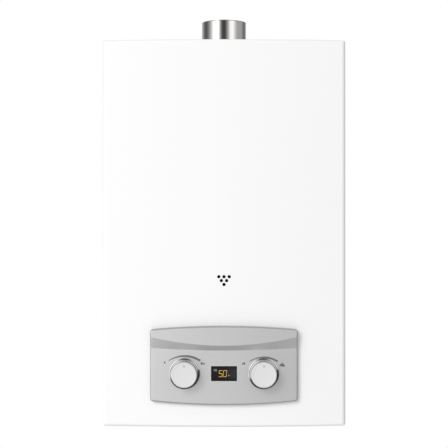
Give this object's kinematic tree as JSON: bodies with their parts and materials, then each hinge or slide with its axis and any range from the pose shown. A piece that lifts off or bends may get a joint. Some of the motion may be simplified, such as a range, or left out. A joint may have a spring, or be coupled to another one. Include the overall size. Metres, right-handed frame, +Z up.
{
  "type": "tankless gas water heater",
  "caption": "Wall-hung gas water heater with a crowned sheet casing, a flue spigot on top and a front panel with knobs and a display.",
  "frame": {"origin": "centre of the four wall holes, on the wall plane", "axes": "+X to the right as seen from the front, +Y into the wall so that the front faces -Y, +Z up"},
  "size_m": [0.3194, 0.1827, 0.555],
  "materials": {
    "casing_enamel": "satin white enamel",
    "zinc_sheet": "zinc coated",
    "polished_steel": "polished",
    "aluminised_steel": "matt",
    "cast_alloy": "cast",
    "copper": "drawn copper",
    "brass": "machined",
    "panel_silver": "silver-grey paint",
    "knob_silver": "silver-grey paint",
    "chrome_trim": "chromed plastic",
    "display_black": "smoked window",
    "black_plastic": "moulded",
    "white_ceramic": "glazed",
    "cream_plastic": "moulded",
    "silicone": "matt",
    "black_rubber": "matt",
    "mica": "clear",
    "circuit_board": "solder mask"
  },
  "bodies": {
    "root": {"front_cover": "casing_enamel", "back_plate": "zinc_sheet", "top_plate": "zinc_sheet", "bottom_plate": "zinc_sheet", "cover_screws": "polished_steel", "flue_collar": "polished_steel", "flue_seal": "black_rubber", "fan_housing": "aluminised_steel", "fan_motor": "black_plastic", "exhaust_hood": "aluminised_steel", "exchanger_case": "copper", "exchanger_fins": "copper", "exchanger_pipes": "copper", "combustion_chamber": "copper", "wrap_pipe": "copper", "sight_glass": "mica", "burner_bars": "aluminised_steel", "burner_tray": "zinc_sheet", "gas_manifold": "cast_alloy", "gas_nozzles": "brass", "gas_valve_body": "cast_alloy", "gas_inlet": "brass", "gas_solenoid": "black_plastic", "water_valve_body": "brass", "diaphragm_cover": "brass", "rod_spring": "polished_steel", "microswitch": "black_plastic", "cold_inlet": "brass", "inlet_filter": "cream_plastic", "hot_outlet": "brass", "hot_pipe": "copper", "drain_plug": "brass", "pipe_grommets": "black_rubber", "core_brackets": "zinc_sheet", "valve_bracket": "zinc_sheet", "control_panel": "panel_silver", "panel_screws": "polished_steel", "display_lens": "display_black", "display_board": "circuit_board", "water_bezel": "chrome_trim", "gas_bezel": "chrome_trim", "ignition_box": "black_plastic", "ignition_electrode": "white_ceramic", "flame_sensor": "white_ceramic", "ignition_lead": "silicone", "power_box": "black_plastic", "cable_gland": "black_plastic", "pressure_switch": "cream_plastic", "pressure_hose": "silicone", "overheat_cutout": "black_plastic"},
    "water_dial": {"water_knob": "knob_silver", "water_spindle": "polished_steel"},
    "gas_dial": {"gas_knob": "knob_silver", "gas_spindle": "polished_steel"},
    "rotor": {"fan_wheel": "aluminised_steel", "fan_shaft": "polished_steel"},
    "rod": {"push_rod": "polished_steel"},
    "lever": {"switch_lever": "polished_steel"},
    "plunger": {"solenoid_plunger": "polished_steel"}
  },
  "joints": [
    {"name": "water_knob_turn", "type": "hinge", "parent": "root", "child": "water_dial", "pos_m": [-0.0507, -0.1, -0.18], "axis": [0, 1, 0], "range_deg": [-45, 45]},
    {"name": "gas_knob_turn", "type": "hinge", "parent": "root", "child": "gas_dial", "pos_m": [0.0507, -0.1, -0.18], "axis": [0, 1, 0], "range_deg": [-45, 45]},
    {"name": "fan_spin", "type": "hinge", "parent": "root", "child": "rotor", "pos_m": [-0.037, -0.1, 0.182], "axis": [0, 1, 0], "continuous": true},
    {"name": "push_rod_slide", "type": "slide", "parent": "root", "child": "rod", "axis": [1, 0, 0], "range_m": [0, 0.003], "stiffness_N_per_m": 500, "deforming": ["rod_spring"]},
    {"name": "switch_lever_turn", "type": "hinge", "parent": "root", "child": "lever", "pos_m": [-0.02, -0.06, -0.171], "axis": [0, 1, 0], "range_deg": [0, 5.6]},
    {"name": "plunger_slide", "type": "slide", "parent": "root", "child": "plunger", "axis": [0, 0, 1], "range_m": [0, 0.003], "stiffness_N_per_m": 300, "springref_m": -0.002}
  ],
  "couplings": [
    {"joint": "switch_lever_turn", "follows": "push_rod_slide", "rad_per_m": 32}
  ]
}
